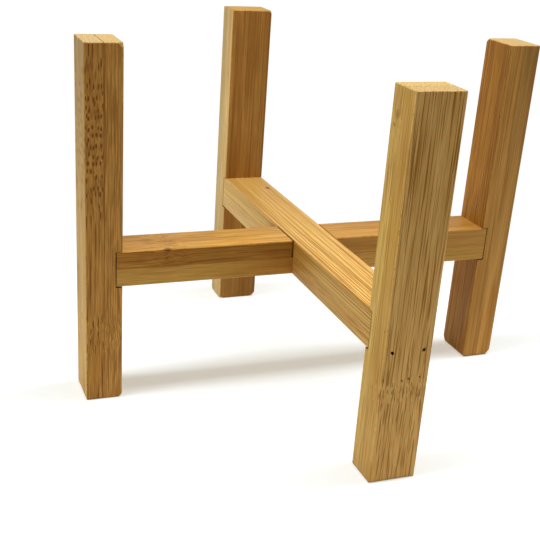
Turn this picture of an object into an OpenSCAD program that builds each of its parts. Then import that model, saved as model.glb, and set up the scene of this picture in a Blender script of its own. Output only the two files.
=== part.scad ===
// Knock-down plant stand of laminated bamboo.
//
// Two frames cross at right angles. The lower frame is a rail with the left and
// right legs, the upper frame a rail with the front and back legs. The rails lock
// in a cross halving joint: the lower rail is notched from above, the upper rail
// from below, and the upper frame lifts straight off. Every leg and rail is two
// flat strips glued face to face. Each rail end sits in a housing cut across the
// inner face of its leg, and two brads driven from outside hold it there.
//
// Millimetres. The origin is on the floor under the crossing, +X runs along the
// lower rail to the right leg, +Y along the upper rail to the back leg, +Z is up.

/* [Overall size] */
// Height of the legs
leg_height = 152; // [110:1:260]
// Span over two opposite legs, outer face to outer face
span = 203; // [140:1:320]
// Height of the undersides of the rails above the floor
rail_underside = 52; // [20:1:90]

/* [Bamboo strips] */
// Width of a strip, which is the width of every leg and rail
strip_width = 20; // [14:0.5:32]
// Thickness of a strip; legs and rails are two strips thick
strip_thickness = 7.75; // [5:0.25:12]
// Radius of the sanded long edges of legs and rails
long_edge_radius = 0.6; // [0.2:0.1:1.5]
// Radius of the sanded edges round the ends of the legs
end_edge_radius = 0.4; // [0.1:0.1:1.5]

/* [Cross halving joint] */
// How much wider than the rail that crosses it each notch is
notch_play = 0.8; // [0.2:0.1:2]
// How far off the middle of that play each rail has come to rest
rest_offset = 0.3; // [0:0.05:0.3]
// Gap between the notch floors, so that the rail tops come flush
seat_gap = 0.2; // [0:0.05:0.6]

/* [Leg housings] */
// Depth of the housing in the inner face of a leg
housing_depth = 3; // [1.5:0.25:4.5]
// Gap between the end of the rail and the back of its housing
end_gap = 0.3; // [0:0.05:1]
// Gap under the rail in its housing
under_gap = 0.4; // [0:0.05:1]

/* [Brads] */
// Diameter of the shank of a brad
brad_diameter = 0.9; // [0.6:0.1:1.2]
// Diameter of the head
brad_head_diameter = 1.2; // [1.2:0.1:3]
// Thickness of the head
brad_head_thickness = 0.6; // [0.3:0.1:1.5]
// Length of a brad, head and point included
brad_length = 30; // [20:1:45]
// Length of the point
brad_point = 1.6; // [0.5:0.1:3]
// Diameter of the blunt tip of the point
brad_tip = 0.2; // [0.1:0.1:0.5]
// Depth of the head below the outer face of the leg
brad_sink = 1; // [0:0.1:2]
// Distance from the side of the leg to the middle of a brad
brad_inset = 3.4; // [2:0.1:5]
// Radial clearance between a brad and its hole
brad_clearance = 0.05; // [0.02:0.01:0.1]

/* [Hidden] */
$fn = 48;

// Directions of the legs, as turns from +X
right = 0;
back = 90;
left = 180;
front = 270;

// Sides of a leg seen along its own axis, from the crossing outwards
port = 1;
starboard = -1;

half_span = span / 2;
stock_thickness = 2 * strip_thickness;
rail_top = rail_underside + stock_thickness;
rail_seam = rail_underside + strip_thickness;
rail_half_length = half_span - stock_thickness + housing_depth - end_gap;
notch_width = strip_width + notch_play;
brad_height = rail_underside + strip_thickness / 2;
brad_offset = strip_width / 2 - brad_inset;
// Length by which a cut runs out past the wood
over = 1;

pale = "#d9b679";
golden = "#cf9f56";
amber = "#c08d4a";
brown = "#a97a3e";
steel = "#8d8f92";

// A rectangle with round corners, its middle on the origin
module round_rectangle(width, height, radius) {
    square([width - 2 * radius, height], center = true);
    square([width, height - 2 * radius], center = true);
    for (x = [-1, 1], y = [-1, 1])
        translate([x * (width / 2 - radius), y * (height / 2 - radius)])
            circle(r = radius);
}

// A bar of the stock, upright and its middle on the origin: strip_width along y,
// both strips' thickness along x, all its edges sanded
module sanded_leg() {
    intersection() {
        linear_extrude(leg_height, center = true)
            round_rectangle(stock_thickness, strip_width, long_edge_radius);
        rotate([90, 0, 0])
            linear_extrude(strip_width, center = true)
                round_rectangle(stock_thickness, leg_height, end_edge_radius);
        rotate([90, 0, 90])
            linear_extrude(stock_thickness, center = true)
                round_rectangle(strip_width, leg_height, end_edge_radius);
    }
}

// A bar of the stock along x, its middle on the crossing at the rails' height,
// with sanded long edges and square ends
module sanded_rail() {
    translate([0, 0, rail_seam])
        rotate([90, 0, 90])
            linear_extrude(2 * rail_half_length, center = true)
                round_rectangle(strip_width, stock_thickness, long_edge_radius);
}

// Puts a piece drawn at the right leg at the leg in the given direction
module at_leg(direction) {
    rotate([0, 0, direction])
        translate([half_span, 0, 0])
            children();
}

// Where the rails have come to rest in their notches
module lower_frame() {
    translate([0, -rest_offset, 0])
        children();
}

module upper_frame() {
    translate([rest_offset, 0, 0])
        children();
}

// The brads, their holes and the leg strips below are drawn at a leg: x = 0 is the
// outer face, the crossing is towards -x, and the floor is z = 0

module brad(side) {
    translate([-brad_sink, side * brad_offset, brad_height])
        rotate([0, -90, 0]) {
            cylinder(h = brad_head_thickness, d = brad_head_diameter);
            cylinder(h = brad_length - brad_point, d = brad_diameter);
            translate([0, 0, brad_length - brad_point])
                cylinder(h = brad_point, d1 = brad_diameter, d2 = brad_tip);
        }
}

module brad_holes() {
    head_seat = brad_sink + brad_head_thickness + brad_clearance;
    for (side = [port, starboard])
        translate([0, side * brad_offset, brad_height])
            rotate([0, -90, 0]) {
                translate([0, 0, -over])
                    cylinder(h = over + head_seat, d = brad_head_diameter + 2 * brad_clearance);
                cylinder(h = brad_sink + brad_length + brad_clearance,
                         d = brad_diameter + 2 * brad_clearance);
            }
}

// The dado across the inner face that takes the end of a rail
module housing() {
    depth = housing_depth + over;
    height = under_gap + stock_thickness;
    translate([-stock_thickness - over, -strip_width / 2 - over, rail_underside - under_gap])
        cube([depth, strip_width + 2 * over, height]);
}

// The strip of a leg between two distances from its outer face
module leg_strip(from, to) {
    difference() {
        intersection() {
            translate([-stock_thickness / 2, 0, leg_height / 2])
                sanded_leg();
            translate([-to, -strip_width, -over])
                cube([to - from, 2 * strip_width, leg_height + 2 * over]);
        }
        housing();
        brad_holes();
    }
}

module leg_outer_strip() {
    leg_strip(0, strip_thickness);
}

module leg_inner_strip() {
    leg_strip(strip_thickness, stock_thickness);
}

// One of the two strips of a rail along x, from the given height upwards, with the
// holes of the brads at both ends
module rail_strip(bottom) {
    difference() {
        intersection() {
            sanded_rail();
            translate([-half_span, -strip_width, bottom])
                cube([span, 2 * strip_width, strip_thickness]);
        }
        for (direction = [right, left])
            at_leg(direction)
                brad_holes();
    }
}

// The cut that takes a crossing rail which rests off to one side: a slot across a
// rail along x, between two heights
module notch(bottom, top) {
    translate([-notch_width / 2, -strip_width, bottom])
        cube([notch_width, 2 * strip_width, top - bottom]);
}

// The lower rail's notch is open at the top and cuts its top strip in two
module lower_notch() {
    notch(rail_seam - seat_gap / 2, rail_top + over);
}

// The upper rail's notch is open below and cuts its bottom strip in two
module upper_notch() {
    notch(rail_underside - over, rail_seam + seat_gap / 2);
}

// The half of space on the +x side of the crossing
module beyond_crossing() {
    translate([0, -half_span, 0])
        cube([span, span, leg_height]);
}

module lower_rail_bottom_strip() {
    color(golden)
        lower_frame()
            difference() {
                rail_strip(rail_underside);
                lower_notch();
            }
}

module lower_rail_top_half(direction) {
    color(amber)
        lower_frame()
            intersection() {
                difference() {
                    rail_strip(rail_seam);
                    lower_notch();
                }
                rotate([0, 0, direction])
                    beyond_crossing();
            }
}

module upper_rail_top_strip() {
    color(golden)
        upper_frame()
            rotate([0, 0, back])
                difference() {
                    rail_strip(rail_seam);
                    upper_notch();
                }
}

module upper_rail_bottom_half(direction) {
    color(pale)
        upper_frame()
            rotate([0, 0, direction])
                intersection() {
                    difference() {
                        rail_strip(rail_underside);
                        upper_notch();
                    }
                    beyond_crossing();
                }
}

module lower_rail_top_strip_left() lower_rail_top_half(left);
module lower_rail_top_strip_right() lower_rail_top_half(right);
module upper_rail_bottom_strip_front() upper_rail_bottom_half(front);
module upper_rail_bottom_strip_back() upper_rail_bottom_half(back);

module left_leg_outer_strip() color(pale) lower_frame() at_leg(left) leg_outer_strip();
module left_leg_inner_strip() color(brown) lower_frame() at_leg(left) leg_inner_strip();
module right_leg_outer_strip() color(amber) lower_frame() at_leg(right) leg_outer_strip();
module right_leg_inner_strip() color(golden) lower_frame() at_leg(right) leg_inner_strip();
module front_leg_outer_strip() color(golden) upper_frame() at_leg(front) leg_outer_strip();
module front_leg_inner_strip() color(pale) upper_frame() at_leg(front) leg_inner_strip();
module back_leg_outer_strip() color(amber) upper_frame() at_leg(back) leg_outer_strip();
module back_leg_inner_strip() color(pale) upper_frame() at_leg(back) leg_inner_strip();

module left_leg_brad_front() color(steel) lower_frame() at_leg(left) brad(port);
module left_leg_brad_back() color(steel) lower_frame() at_leg(left) brad(starboard);
module right_leg_brad_front() color(steel) lower_frame() at_leg(right) brad(starboard);
module right_leg_brad_back() color(steel) lower_frame() at_leg(right) brad(port);
module front_leg_brad_left() color(steel) upper_frame() at_leg(front) brad(starboard);
module front_leg_brad_right() color(steel) upper_frame() at_leg(front) brad(port);
module back_leg_brad_left() color(steel) upper_frame() at_leg(back) brad(port);
module back_leg_brad_right() color(steel) upper_frame() at_leg(back) brad(starboard);

lower_rail_bottom_strip();
lower_rail_top_strip_left();
lower_rail_top_strip_right();
upper_rail_top_strip();
upper_rail_bottom_strip_front();
upper_rail_bottom_strip_back();
left_leg_outer_strip();
left_leg_inner_strip();
right_leg_outer_strip();
right_leg_inner_strip();
front_leg_outer_strip();
front_leg_inner_strip();
back_leg_outer_strip();
back_leg_inner_strip();
left_leg_brad_front();
left_leg_brad_back();
right_leg_brad_front();
right_leg_brad_back();
front_leg_brad_left();
front_leg_brad_right();
back_leg_brad_left();
back_leg_brad_right();
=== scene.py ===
# %% [markdown]
# # A knock-down plant stand of laminated bamboo
# The stand is two flat frames that cross. Each frame is a rail with a leg at either end,
# and every leg and rail is two bamboo strips glued face to face. The construction model
# already fixes every size, so this lesson is about looks: strips with softened arrises and
# real glue lines, a bamboo grain built from nodes, steel brads, soft light and the camera.
#
# The first cell loads that construction model as a fixed frame, with helpers that give the
# box of one of its pieces, hang a new piece on a body and hide the piece it takes over from.
# Nothing that is made here may reach outside it.

# %% Load the construction model
import math

import bmesh
import bpy
from mathutils import Matrix, Vector


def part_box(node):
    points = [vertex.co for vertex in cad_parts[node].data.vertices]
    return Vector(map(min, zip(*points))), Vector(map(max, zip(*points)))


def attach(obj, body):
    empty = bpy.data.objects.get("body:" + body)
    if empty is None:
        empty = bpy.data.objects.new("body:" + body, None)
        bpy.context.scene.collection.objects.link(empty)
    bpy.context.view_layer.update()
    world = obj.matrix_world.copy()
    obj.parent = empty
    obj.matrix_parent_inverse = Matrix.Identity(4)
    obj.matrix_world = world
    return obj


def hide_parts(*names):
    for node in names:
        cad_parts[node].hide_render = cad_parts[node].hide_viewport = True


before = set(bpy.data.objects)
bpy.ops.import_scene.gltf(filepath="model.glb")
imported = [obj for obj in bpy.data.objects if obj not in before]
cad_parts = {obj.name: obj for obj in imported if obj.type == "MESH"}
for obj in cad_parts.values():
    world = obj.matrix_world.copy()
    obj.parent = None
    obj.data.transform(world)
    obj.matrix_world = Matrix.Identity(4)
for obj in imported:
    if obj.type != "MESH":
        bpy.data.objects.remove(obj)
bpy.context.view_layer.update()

MM = 0.001


# %% [markdown]
# ## The camera
# A perspective is part of how an object looks, so the camera comes first. Its place was
# solved from the corners of the legs: it stands in front of the stand and a little to the
# left, looks down by about 24 degrees and is tilted slightly. The lens shift moves the
# frame upwards without turning the camera, which keeps the uprights as they should be.

# %% Camera
CAMERA_PLACE = Vector((-0.17527, -0.39470, 0.21489))
CAMERA_YAW = math.radians(22.241)
CAMERA_PITCH = math.radians(23.739)
CAMERA_ROLL = math.radians(4.070)
LENS, SENSOR = 67.256, 36.0
SHIFT_ACROSS, SHIFT_UP = -0.0023, 0.0849
NEAREST = 0.01


def new_object(name, data):
    """An object in the scene that shows the given data."""
    made = bpy.data.objects.new(name, data)
    bpy.context.scene.collection.objects.link(made)
    return made


camera_data = bpy.data.cameras.new("camera")
camera_data.lens = LENS
camera_data.sensor_width = SENSOR
camera_data.shift_x = SHIFT_ACROSS
camera_data.shift_y = SHIFT_UP
camera_data.clip_start = NEAREST
camera_data.dof.use_dof = False

camera = new_object("camera", camera_data)
turn_left_right = Matrix.Rotation(-CAMERA_YAW, 4, "Z")
look_down = Matrix.Rotation(math.radians(90) - CAMERA_PITCH, 4, "X")
tilt = Matrix.Rotation(CAMERA_ROLL, 4, "Z")
camera.matrix_world = Matrix.Translation(CAMERA_PLACE) @ turn_left_right @ look_down @ tilt
bpy.context.scene.camera = camera
print("camera at", [round(value, 3) for value in camera.location], "lens", LENS)

# %% [markdown]
# ## Light
# The lower rail's shadow lies almost straight below it, with a narrow soft edge from front to
# back and a very wide one from left to right. So the stand was lit by a long strip hung nearly
# overhead, from left to right. A weaker light from the left keeps that side of every leg
# brighter than its front. Area lamps do this directly: their size sets how soft a shadow is,
# and their power sets the level at which a colour renders about as written.

# %% Lamps
MIDDLE_OF_STAND = Vector((0, 0, 0.06))


def area_lamp(name, place, size, power, colour):
    """A rectangular lamp that shines at the middle of the stand."""
    data = bpy.data.lights.new(name, "AREA")
    data.shape = "RECTANGLE"
    data.size, data.size_y = size
    data.energy = power
    data.color = colour
    lamp = new_object(name, data)
    lamp.location = place
    aim = MIDDLE_OF_STAND - Vector(place)
    lamp.rotation_euler = aim.to_track_quat("-Z", "Y").to_euler()
    print(name, "at", place, "power", power)


area_lamp("overhead_lamp", (0.0, -0.06, 1.50), (3.2, 0.38), power=35.0, colour=(1.0, 0.99, 0.97))
area_lamp("left_lamp", (-0.95, 0.32, 0.26), (0.6, 0.4), power=1.3, colour=(0.97, 0.99, 1.0))

# %% [markdown]
# ## Shader networks, written as sums
# Every finish here is a network of nodes. Made call by call, a network of sums is long to
# write and hard to read. So what a node puts out is wrapped in a small class, and Python's
# own signs make the nodes: `a * b + c` adds a Multiply node and an Add node, and links them.
# An Amount is one number that changes over the surface. A Triple is three of them, which are
# a place or a colour. `or_more` takes the larger of two amounts and `or_less` the smaller.

# %% Nodes and sums
def add_node(tree, kind, label, settings=(), sockets=()):
    """Adds a node, sets its options, and sets or links its sockets."""
    node = tree.nodes.new(kind)
    node.label = label
    for name, value in dict(settings).items():
        setattr(node, name, value)
    for name, value in dict(sockets).items():
        if isinstance(value, Amount):
            value = value.socket
        if isinstance(value, bpy.types.NodeSocket):
            tree.links.new(value, node.inputs[name])
        else:
            node.inputs[name].default_value = value
    return node


def sum_method(operation, turned=False):
    """A method that works an operation out with one node."""
    def method(self, *others):
        values = (*others, self) if turned else (self, *others)
        node = add_node(self.tree, self.maths, "", {"operation": operation}, enumerate(values))
        return type(self)(node.outputs[0])

    return method


class Amount:
    """A number from a node. A sum with it adds a Math node to its network."""

    maths = "ShaderNodeMath"
    __add__, __mul__ = sum_method("ADD"), sum_method("MULTIPLY")
    __sub__, __rsub__ = sum_method("SUBTRACT"), sum_method("SUBTRACT", turned=True)
    __truediv__, __pow__ = sum_method("DIVIDE"), sum_method("POWER")
    __abs__ = sum_method("ABSOLUTE")
    or_more, or_less = sum_method("MAXIMUM"), sum_method("MINIMUM")

    def __init__(self, socket):
        self.socket = socket
        self.tree = socket.id_data


class Triple(Amount):
    """A place or a colour from a node, worked out with Vector Math nodes."""

    maths = "ShaderNodeVectorMath"

    def __mul__(self, other):
        if type(other) is not Amount:
            return Amount.__mul__(self, other)
        sockets = {0: self, "Scale": other}
        node = add_node(self.tree, self.maths, "", {"operation": "SCALE"}, sockets)
        return Triple(node.outputs[0])

    def length(self):
        node = add_node(self.tree, self.maths, "", {"operation": "LENGTH"}, {0: self})
        return Amount(node.outputs["Value"])

    def parts(self):
        node = add_node(self.tree, "ShaderNodeSeparateXYZ", "", sockets={0: self})
        return [Amount(socket) for socket in node.outputs]


print("sums are worked out by", Amount.maths, "and", Triple.maths)

# %% [markdown]
# ## The world
# The world adds a faint even light, and shows pure white to the camera. Light Path tells
# the two apart: a ray that comes from the camera, a reflection or a glass sees white, and
# a ray that gathers light sees the dim grey.

# %% World
BLACK, WHITE = (0.0, 0.0, 0.0, 1.0), (1.0, 1.0, 1.0, 1.0)
AMBIENT = 0.02


def ray_seen(tree):
    """1 for a ray that shows the surface to the eye, also in a reflection or through glass."""
    path = add_node(tree, "ShaderNodeLightPath", "kind of ray").outputs
    seen = Amount(path["Is Camera Ray"]).or_more(path["Is Glossy Ray"])
    return seen.or_more(path["Is Transmission Ray"])


def surface(tree, kind, label, sockets, output="ShaderNodeOutputMaterial"):
    """The shader of a material or world, linked to its output."""
    shader = add_node(tree, kind, label, sockets=sockets)
    end = add_node(tree, output, "")
    tree.links.new(shader.outputs[0], end.inputs["Surface"])


world = bpy.data.worlds.new("studio")
bpy.context.scene.world = world
world.use_nodes = True
world.node_tree.nodes.clear()
level = ray_seen(world.node_tree) * (1.0 - AMBIENT) + AMBIENT
light = {"Color": WHITE, "Strength": level}
surface(world.node_tree, "ShaderNodeBackground", "even light", light, "ShaderNodeOutputWorld")
bpy.context.scene.view_settings.view_transform = "Standard"
print("ambient level", AMBIENT)

# %% [markdown]
# ## The floor
# The floor is a pale sweep that vanishes into white. Near the stand it is a matt surface that
# catches the soft shadows, and a warm glow, which only the camera sees, keeps them light.
# With the distance the matt colour fades out and the glow turns to pure white, so the far
# floor is white whatever the lamps do. To the light that bounces off it the paper is warmer
# than to the eye, which is what warms the undersides of the rails.

# %% Floor
FLOOR_SIZE = 6.0
FLOOR_DROP = 0.0002
MATT_TO, WHITE_FROM = 0.12, 0.22
PAPER_TONES = (0.61, 0.69, 0.76, 1), (0.63, 0.71, 0.79, 1)
BOUNCE_TONES = (0.78, 0.73, 0.62, 1), (0.80, 0.75, 0.64, 1)
# The warm glow tone is painted light, the warm light that the bamboo throws into its shadows; the
# bluer paper that the camera sees makes up for it where the floor is lit.
GLOW_TONE = (0.53, 0.50, 0.44, 1)
MIX_FACTOR, MIX_FIRST, MIX_SECOND, MIX_RESULT = 0, 6, 7, 2


def eased(value, low, high, label="", to_low=0.0, to_high=1.0):
    """A value eased from one range to another, and held at its ends."""
    node = add_node(
        value.tree, "ShaderNodeMapRange", label, {"interpolation_type": "SMOOTHSTEP"},
        {"Value": value, "From Min": low, "From Max": high, "To Min": to_low, "To Max": to_high},
    )
    return Amount(node.outputs["Result"])


def mixed(factor, first, second, label):
    """A mix of two colours."""
    sockets = {MIX_FACTOR: factor, MIX_FIRST: first, MIX_SECOND: second}
    node = add_node(factor.tree, "ShaderNodeMix", label, {"data_type": "RGBA"}, sockets)
    return Triple(node.outputs[MIX_RESULT])


def new_material(name):
    """A material with an empty network, and where its points lie on the object."""
    material = bpy.data.materials.new(name)
    material.use_nodes = True
    material.node_tree.nodes.clear()
    here = add_node(material.node_tree, "ShaderNodeTexCoord", "place on the object")
    return material, material.node_tree, Triple(here.outputs["Object"])


def finished_piece(name, mesh, material):
    """An object from a bmesh, which is used up, and a material."""
    data = bpy.data.meshes.new(name)
    mesh.to_mesh(data)
    mesh.free()
    data.materials.append(material)
    return new_object(name, data)


floor_material, tree, here = new_material("pale_sweep")
seen = ray_seen(tree)
mottle = add_node(
    tree, "ShaderNodeTexNoise", "faint mottle of the paper",
    sockets={"Vector": here, "Scale": 40.0, "Detail": 3.0},
)
mottle = Amount(mottle.outputs["Fac"])
away = eased(here.length(), MATT_TO, WHITE_FROM, "away from the stand")
paper = mixed(away, mixed(mottle, *PAPER_TONES, "paper"), BLACK, "paper fades out")
paper = mixed(seen, mixed(mottle, *BOUNCE_TONES, "bounce"), paper, "paper as seen")
glow = mixed(seen, BLACK, mixed(away, GLOW_TONE, WHITE, "glow turns white"), "only to the eye")
surface(
    tree, "ShaderNodeBsdfPrincipled", "matt paper",
    {
        "Base Color": paper,
        "Roughness": 0.9,
        "Specular IOR Level": 0.1,
        "Emission Color": glow,
        "Emission Strength": 1.0,
    },
)
floor_mesh = bmesh.new()
bmesh.ops.create_grid(floor_mesh, x_segments=2, y_segments=2, size=FLOOR_SIZE / 2)
bmesh.ops.translate(floor_mesh, verts=floor_mesh.verts, vec=(0, 0, -FLOOR_DROP))
floor = finished_piece("floor", floor_mesh, floor_material)
print("floor", FLOOR_SIZE, "m wide")

# %% [markdown]
# ## Where the strips lie
# All fourteen bamboo pieces are cut from one stock: a strip 20 mm wide and 7.75 mm thick.
# So each is made in the same bench frame, in millimetres, and then laid in its place. On the
# bench, x runs across the strip, y goes from the glued face (0) to the free face, and z follows
# the fibres. The free face is the one that shows once two strips are glued together.

# %% The stock and its places
STRIP_WIDTH = 20.0
STRIP_THICKNESS = 7.75
LEG_HEIGHT = 152.0
HALF_SPAN = 101.5
RAIL_UNDERSIDE = 52.0
RAIL_HALF_LENGTH = 88.7
REST_OFFSET = 0.3

RAIL_SEAM = RAIL_UNDERSIDE + STRIP_THICKNESS
LEG_SEAM = HALF_SPAN - STRIP_THICKNESS

LEFT, RIGHT = Vector((-1, 0, 0)), Vector((1, 0, 0))
FRONT, BACK = Vector((0, -1, 0)), Vector((0, 1, 0))
DOWN, UP = Vector((0, 0, -1)), Vector((0, 0, 1))

FRAME_REST = {
    "lower_frame": Vector((0, -REST_OFFSET, 0)),
    "upper_frame": Vector((REST_OFFSET, 0, 0)),
}


def body_of(name):
    """The frame that a strip belongs to."""
    return "lower_frame" if name.startswith(("lower_", "left_", "right_")) else "upper_frame"


def bench_to_place(name, seam_point, free_side, along):
    """The matrix that lays a strip from the bench into the stand, in millimetres."""
    across = free_side.cross(along)
    origin = seam_point + FRAME_REST[body_of(name)]
    turned = Matrix((across, free_side, along)).transposed().to_4x4()
    return Matrix.Translation(origin) @ turned


PLACES = {}
for side_name, side in (("left", LEFT), ("right", RIGHT), ("front", FRONT), ("back", BACK)):
    for layer, free_side in (("outer", side), ("inner", -side)):
        name = f"{side_name}_leg_{layer}_strip"
        PLACES[name] = bench_to_place(name, side * LEG_SEAM, free_side, UP)
for name, free_side, along in (
    ("lower_rail_bottom_strip", DOWN, RIGHT),
    ("lower_rail_top_strip_left", UP, RIGHT),
    ("lower_rail_top_strip_right", UP, RIGHT),
    ("upper_rail_top_strip", UP, BACK),
    ("upper_rail_bottom_strip_front", DOWN, BACK),
    ("upper_rail_bottom_strip_back", DOWN, BACK),
):
    PLACES[name] = bench_to_place(name, UP * RAIL_SEAM, free_side, along)
print("places for", len(PLACES), "strips")

# %% [markdown]
# ## Sawing a strip
# A real strip is sawn and planed square, so the blank is its side outline pushed out across
# the width: one face, and one extrude makes it a board. The outline also carries the cut that
# the strip needs. The inner strip of a leg has the housing for its rail, and the full-length
# strip of a rail has the shallow seat of the crossing.

# %% A blank from its side outline
NOTCH_HALF_WIDTH = 10.4
SEAT_RECESS = 0.1
HOUSING_LOW, HOUSING_HIGH = 51.6, 67.5
HOUSING_DEPTH = 3.0
HOUSING_FLOOR = STRIP_THICKNESS - HOUSING_DEPTH
CORNER, EDGE = bmesh.types.BMVert, bmesh.types.BMEdge


def only(kind, geom):
    """The corners or the edges out of what an operator made."""
    return [item for item in geom if isinstance(item, kind)]


def strip_blank(outline):
    """A square board: the outline gives (depth, height) corners, pushed across the width."""
    mesh = bmesh.new()
    corners = [mesh.verts.new((-STRIP_WIDTH / 2, depth, along)) for depth, along in outline]
    side = mesh.faces.new(corners)
    pushed = bmesh.ops.extrude_face_region(mesh, geom=[side])
    far_side = only(CORNER, pushed["geom"])
    bmesh.ops.translate(mesh, verts=far_side, vec=(STRIP_WIDTH, 0, 0))
    bmesh.ops.recalc_face_normals(mesh, faces=mesh.faces)
    return mesh


def square_outline(low, high, free_cut=(), glued_cut=()):
    """A strip between two heights, with the corners of a cut in its free or glued face."""
    low_end = [(0, low), (STRIP_THICKNESS, low)]
    high_end = [(STRIP_THICKNESS, high), (0, high)]
    return [*low_end, *free_cut, *high_end, *glued_cut]


def outline_of(name):
    """The side outline of a strip."""
    if name.endswith("outer_strip"):
        return square_outline(0, LEG_HEIGHT)
    if name.endswith("inner_strip"):
        housing = (
            (STRIP_THICKNESS, HOUSING_LOW), (HOUSING_FLOOR, HOUSING_LOW),
            (HOUSING_FLOOR, HOUSING_HIGH), (STRIP_THICKNESS, HOUSING_HIGH),
        )
        return square_outline(0, LEG_HEIGHT, free_cut=housing)
    if name in ("lower_rail_bottom_strip", "upper_rail_top_strip"):
        seat = (
            (0, NOTCH_HALF_WIDTH), (SEAT_RECESS, NOTCH_HALF_WIDTH),
            (SEAT_RECESS, -NOTCH_HALF_WIDTH), (0, -NOTCH_HALF_WIDTH),
        )
        return square_outline(-RAIL_HALF_LENGTH, RAIL_HALF_LENGTH, glued_cut=seat)
    if name.endswith(("left", "front")):
        return square_outline(-RAIL_HALF_LENGTH, -NOTCH_HALF_WIDTH)
    return square_outline(NOTCH_HALF_WIDTH, RAIL_HALF_LENGTH)


OUTLINES = {name: outline_of(name) for name in PLACES}
blanks = {name: strip_blank(outline) for name, outline in OUTLINES.items()}
print("blanks", len(blanks), "corners each", sorted({len(mesh.verts) for mesh in blanks.values()}))

# %% [markdown]
# ## Easing the arrises
# After gluing, the maker runs sandpaper along the arrises. The long outer ones get a radius
# of about 0.6 mm, the ends of the legs one of about 0.4 mm, and the ends of the rails, which
# go into a housing, a touch of 0.25 mm. Bevel rounds an edge: with profile 0.5 and a few
# segments it gives a true quarter round. The two edges beside the glue line get only a tiny
# chamfer, and two of those side by side read as a fine groove.

# %% Sand the strips
LONG_RADIUS, LONG_SEGMENTS = 0.6, 4
LEG_END_RADIUS, RAIL_END_RADIUS, END_SEGMENTS = 0.4, 0.25, 3
GLUE_CHAMFER = 0.06
CLOSE = 0.01
LENGTHWISE = 10


def ease(mesh, edges, radius, segments):
    """Rounds edges and shades the new faces smooth."""
    made = bmesh.ops.bevel(
        mesh, geom=edges, offset=radius, offset_type="OFFSET", segments=segments,
        profile=0.5, affect="EDGES", material=-1, clamp_overlap=True,
    )
    for face in made["faces"]:
        face.smooth = True


def edges_where(mesh, test):
    """The edges whose two ends both pass a test on their place."""
    return [edge for edge in mesh.edges if all(test(corner.co) for corner in edge.verts)]


def long_edges(mesh, depth):
    """The edges that run along the fibres, at the strip's sides and at a depth in it."""
    def on_arris(point):
        return abs(abs(point.x) - STRIP_WIDTH / 2) < CLOSE and abs(point.y - depth) < CLOSE

    found = []
    for edge in edges_where(mesh, on_arris):
        step = edge.verts[1].co - edge.verts[0].co
        if abs(step.z) > LENGTHWISE * max(abs(step.x), abs(step.y)):
            found.append(edge)
    return found


def sand_strip(name, mesh):
    """Eases the arrises that the strip shows once it is glued up."""
    ease(mesh, long_edges(mesh, STRIP_THICKNESS), LONG_RADIUS, LONG_SEGMENTS)
    ease(mesh, long_edges(mesh, 0), GLUE_CHAMFER, 1)
    if "leg" in name:
        heights, radius = (0, LEG_HEIGHT), LEG_END_RADIUS
    else:
        heights, radius = (-RAIL_HALF_LENGTH, RAIL_HALF_LENGTH), RAIL_END_RADIUS
    for height in heights:
        ends = edges_where(mesh, lambda point: abs(point.z - height) < CLOSE)
        outer = [edge for edge in ends if max(corner.co.y for corner in edge.verts) > CLOSE]
        ease(mesh, outer, radius, END_SEGMENTS)


for name, mesh in blanks.items():
    sand_strip(name, mesh)
print("faces after sanding", {name: len(mesh.faces) for name, mesh in blanks.items()})

# %% [markdown]
# ## Holes for the brads
# Two brads go through each leg into its rail. A hole is bored in the same way each time:
# the flat face is cut to leave a small square round the spot, 1.8 radii to each side. The
# square gives way to a ring of sixteen corners, and the ring is pushed in as a wall. A
# narrower ring makes the step below a sunk head. A through hole is two such mouths, joined
# wall to wall.

# %% Bore a hole
RING = 16
MOUTH = 1.8
SAME_WAY = 0.999
SAME_POINT = 0.0001


def cut_across(mesh, face, point, normal):
    """Cuts only the given face along a plane."""
    geom = [face] + list(face.edges) + list(face.verts)
    bmesh.ops.bisect_plane(mesh, geom=geom, dist=SAME_POINT, plane_co=point, plane_no=normal)


def face_under(mesh, point, normal):
    """The flat face that holds a point and looks a given way."""
    for face in mesh.faces:
        in_plane = abs((point - face.verts[0].co).dot(normal)) < CLOSE
        if in_plane and face.normal.dot(normal) > SAME_WAY:
            if bmesh.geometry.intersect_face_point(face, point):
                return face
    raise ValueError(f"no face under {point}")


def open_mouth(mesh, point, normal, radius):
    """Makes a round opening in a flat face, and returns the edges of its rim."""
    first = normal.orthogonal().normalized()
    second = normal.cross(first)
    for way in (first, -first, second, -second):
        cut_across(mesh, face_under(mesh, point, normal), point + way * MOUTH * radius, way)
    square = face_under(mesh, point, normal)
    bmesh.ops.subdivide_edges(mesh, edges=list(square.edges), cuts=RING // 4 - 1)
    square = face_under(mesh, point, normal)
    outer_ring = list(square.edges)
    bmesh.ops.delete(mesh, geom=[square], context="FACES_ONLY")
    ring = bmesh.ops.create_circle(mesh, cap_ends=False, radius=radius, segments=RING)["verts"]
    turn = normal.to_track_quat("Z", "Y").to_matrix().to_4x4()
    bmesh.ops.transform(mesh, verts=ring, matrix=Matrix.Translation(point) @ turn)
    rim = list(dict.fromkeys(edge for corner in ring for edge in corner.link_edges))
    bmesh.ops.bridge_loops(mesh, edges=outer_ring + rim)
    return rim


def push_wall(mesh, rim, step, narrower=1.0):
    """Pushes a ring of edges in by a step and returns the new ring."""
    made = bmesh.ops.extrude_edge_only(mesh, edges=rim)["geom"]
    corners = only(CORNER, made)
    middle = sum((corner.co for corner in corners), Vector()) / len(corners)
    for face in {face for corner in corners for face in corner.link_faces}:
        face.smooth = step.length > 0
    bmesh.ops.scale(mesh, vec=(narrower,) * 3, space=Matrix.Translation(-middle), verts=corners)
    bmesh.ops.translate(mesh, vec=step, verts=corners)
    return [edge for edge in only(EDGE, made) if set(edge.verts) <= set(corners)]


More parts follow.
